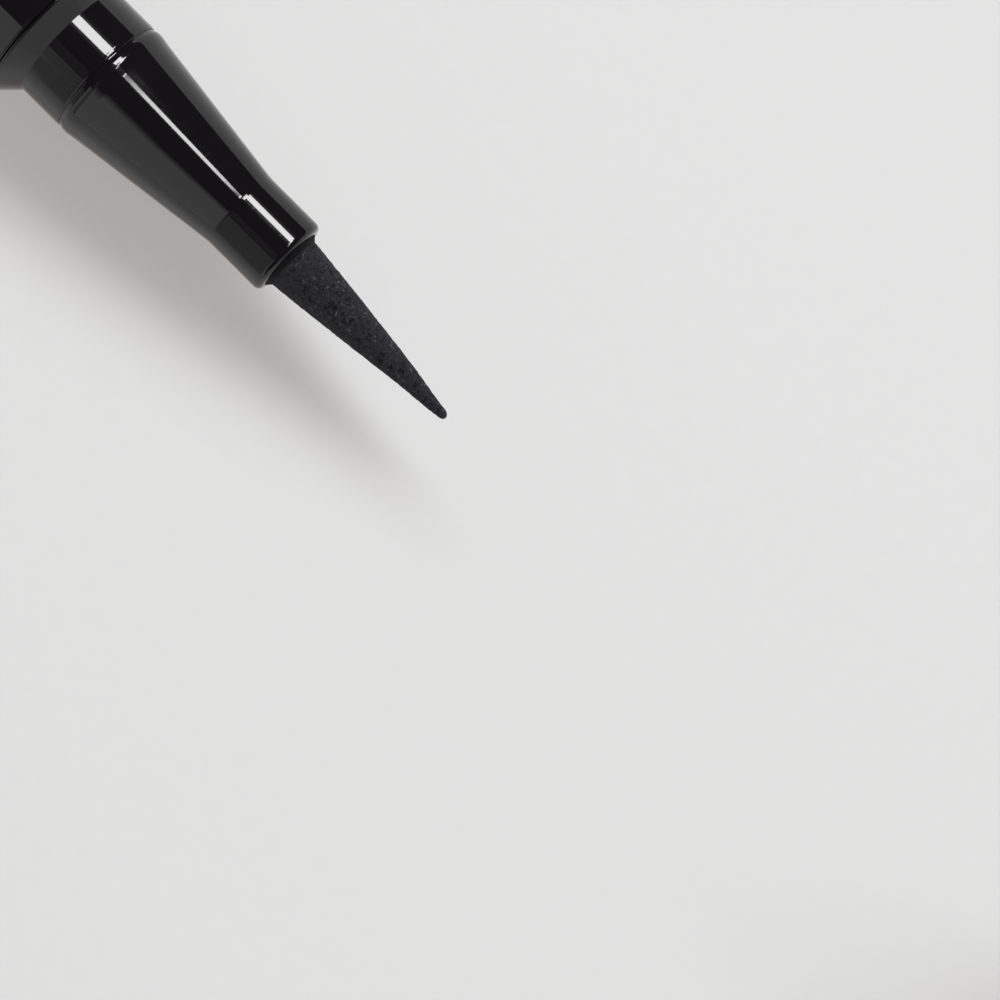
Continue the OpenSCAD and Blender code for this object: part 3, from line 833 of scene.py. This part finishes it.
# Lamps that only the gloss sees: lean and spread in degrees, stretch along the pen, and glow
LONG_LAMPS = {
    "seat_strip": (33.1, 17, SEAT_PART, 18.5),
    "seat_halo": (33.1, 28, SEAT_PART, 0.25),
    "nose_strip": (39.5, 14.6, NOSE_PART, 18.6),
    "nose_halo": (39.5, 28, NOSE_PART, 0.3),
    "ring_strip": (33, 15, RING_PART, 18.6),
    "front_strip": (23.9, 7.4, FRONT_PART, 16.5),
    "rear_upper_card": (-41, 18, REAR_PART, 0.85),
    "rear_lower_card": (-70, 40, REAR_PART, 0.85),
    "far_lower_card": (-70, 40, FAR_PART, 0.3),
    "upper_halo": (-23, 18, MIDDLE_PART, 0.1),
    "upper_card": (-41, 18, MIDDLE_PART, 0.38),
    "lower_card": (-70, 40, MIDDLE_PART, 0.38),
}


def lamp_along_pen(name, lean, spread, away, ends, glow):
    """A lamp along the pen. lean is how far it stands from straight above toward +Y and spread how wide it
    looks from the aim, in degrees; away is its distance and ends its stretch, in metres."""
    width = 2 * away * math.tan(math.radians(spread / 2))
    length = ends[1] - ends[0]
    lean = math.radians(lean)
    place = AIM + Vector(((ends[0] + ends[1]) / 2, away * math.sin(lean), away * math.cos(lean)))
    bpy.ops.object.light_add(type="AREA", location=place, rotation=(-lean, 0, 0))
    lamp = bpy.context.active_object
    lamp.name = name
    lamp.data.shape = "RECTANGLE"
    lamp.data.size = length
    lamp.data.size_y = width
    lamp.data.energy = glow * math.pi * length * width
    return lamp


def key_lamp():
    """The long soft lamp beside the pen that casts the shadow."""
    lamp = lamp_along_pen("key_lamp", KEY_LEAN, KEY_SPREAD, KEY_AWAY, KEY_ENDS, KEY_GLOW)
    lamp.data.color = KEY_COLOR
    lamp.visible_glossy = False


def overhead_fill():
    """Even light from above that lightens the shadow."""
    bpy.ops.object.light_add(type="SUN", location=(0, 0, 1), rotation=(0, 0, 0))
    lamp = bpy.context.active_object
    lamp.name = "overhead_fill"
    lamp.data.color = FILL_COLOR
    lamp.data.energy = FILL_SHARE * math.pi
    lamp.data.use_shadow = False
    lamp.visible_glossy = False


def long_lamps():
    """The lamps that the gloss mirrors as strips and soft cards."""
    for name, (lean, spread, ends, glow) in LONG_LAMPS.items():
        lamp = lamp_along_pen(name, lean, spread, LAMP_WAY, ends, glow)
        lamp.visible_diffuse = False


# Cards and room

# Near edge of the pale card over the pen's -Y side: metres from the aim along X, and lean in degrees
FRONT_EDGE = [
    (0.014, -25), (0.042, -24.5), (0.053, -26.5), (0.061, -28.5), (0.070, -27.5), (0.086, -27),
    (0.100, -40), (0.130, -60), (0.180, -72), (0.320, -86),
]
FRONT_GLOW = 0.83

# The card's rows, the lean of its far edge in degrees, how far its far rear corner is set back, in metres,
# and the shifts of its layers, in degrees of lean and in millimetres along X
CARD_ROWS = 8
CARD_FAR = 90.7
CARD_SLANT = 0.026
CARD_LAYERS = (-4, 0, 4)

# Corners of the card beyond the nib, in millimetres
HORIZON_CARD = [(450, -600, 0), (450, 600, 0), (450, 600, 160), (450, -600, 160)]
HORIZON_GLOW = 0.7

# The room on matt surfaces, in the gloss and to the camera
ROOM_TONES = [(0.13, 0.13, 0.13, 1), (0.03, 0.03, 0.032, 1), (0.80, 0.80, 0.80, 1)]


def card_finish(name, glow, layered):
    """Plain light. In a layered card it adds to what lies behind, so that the card's edges are soft."""
    finish = bpy.data.materials.new(name)
    finish.use_nodes = True
    tree = finish.node_tree
    tree.nodes.clear()
    light = add(tree, "ShaderNodeEmission", [("Color", (1, 1, 1, 1)), ("Strength", glow)])
    if layered:
        clear = add(tree, "ShaderNodeBsdfTransparent")
        light = add(tree, "ShaderNodeAddShader", [(0, light.outputs[0]), (1, clear.outputs[0])])
    add(tree, "ShaderNodeOutputMaterial", [("Surface", light.outputs[0])])
    return finish


def show_in_gloss_only(card, name, glow, layered=False):
    """Gives a card its name and light, and hides it from everything but mirrored rays."""
    card.name = name
    card.data.materials.append(card_finish(name, glow, layered))
    card.visible_camera = False
    card.visible_diffuse = False
    card.visible_shadow = False
    card.visible_transmission = False


def front_card():
    """The curved card that the taper mirrors on its -Y side, in layers that soften its near edge."""
    columns = len(FRONT_EDGE) - 1
    for layer, offset in enumerate(CARD_LAYERS):
        bpy.ops.object.select_all(action="DESELECT")
        bpy.ops.mesh.primitive_grid_add(x_subdivisions=columns, y_subdivisions=CARD_ROWS, size=1)
        card = bpy.context.active_object
        away = LAMP_WAY + layer * MM
        for point in card.data.vertices:
            along, near = FRONT_EDGE[round((point.co.x + 0.5) * columns)]
            share = point.co.y + 0.5
            lean = math.radians((near + offset) * (1 - share) - CARD_FAR * share)
            along += offset * MM - CARD_SLANT * share * (0.5 - point.co.x)
            point.co = AIM + Vector((along, away * math.sin(lean), away * math.cos(lean)))
        show_in_gloss_only(card, "front_card_%d" % layer, FRONT_GLOW / len(CARD_LAYERS), layered=True)


def horizon_card():
    """The upright card beyond the nib."""
    bpy.ops.object.select_all(action="DESELECT")
    bpy.ops.mesh.primitive_circle_add(vertices=len(HORIZON_CARD), radius=MM, fill_type="NGON")
    card = bpy.context.active_object
    for point, corner in zip(card.data.vertices, HORIZON_CARD):
        point.co = Vector(corner) * MM
    show_in_gloss_only(card, "horizon_card", HORIZON_GLOW)


def room():
    """The room: pale to the camera, a soft fill on matt surfaces, and dark in the gloss."""
    world = bpy.data.worlds.new("room")
    world.use_nodes = True
    bpy.context.scene.world = world
    tree = world.node_tree
    tree.nodes.clear()
    path = add(tree, "ShaderNodeLightPath")
    fill, dark, pale = [
        add(tree, "ShaderNodeBackground", [("Color", tone), ("Strength", 1)]).outputs[0]
        for tone in ROOM_TONES
    ]
    gloss = add(tree, "ShaderNodeMixShader", [(0, path.outputs["Is Glossy Ray"]), (1, fill), (2, dark)])
    seen = add(tree, "ShaderNodeMixShader",
               [(0, path.outputs["Is Camera Ray"]), (1, gloss.outputs[0]), (2, pale)])
    add(tree, "ShaderNodeOutputWorld", [("Surface", seen.outputs[0])])


# Camera

# Its place in millimetres, its turn about Z in degrees, and its focal length and picture in pixels
CAMERA_PLACE = (18.4, -1.245, 190)
CAMERA_TURN = 44.9
FOCAL_PIXELS = 3257
PHOTO_PIXELS = 1000


def photo_camera():
    """Straight above, over the middle of the picture, with the pen running down to the right."""
    place = Vector(CAMERA_PLACE) * MM
    bpy.ops.object.camera_add(location=place, rotation=(0, 0, math.radians(CAMERA_TURN)))
    camera = bpy.context.active_object
    camera.data.sensor_fit = "HORIZONTAL"
    camera.data.lens = camera.data.sensor_width * FOCAL_PIXELS / PHOTO_PIXELS
    camera.data.clip_start = MM
    bpy.context.scene.camera = camera


dress_nodes()
barrel_shell()
tail_button()
collar_and_seat()
nose_taper()
felt_nib()
cap_tube()
cap_crown()
lip_seal()
return_spring()
table_top()
key_lamp()
overhead_fill()
long_lamps()
front_card()
horizon_card()
room()
photo_camera()
bpy.context.scene.view_settings.view_transform = "Standard"
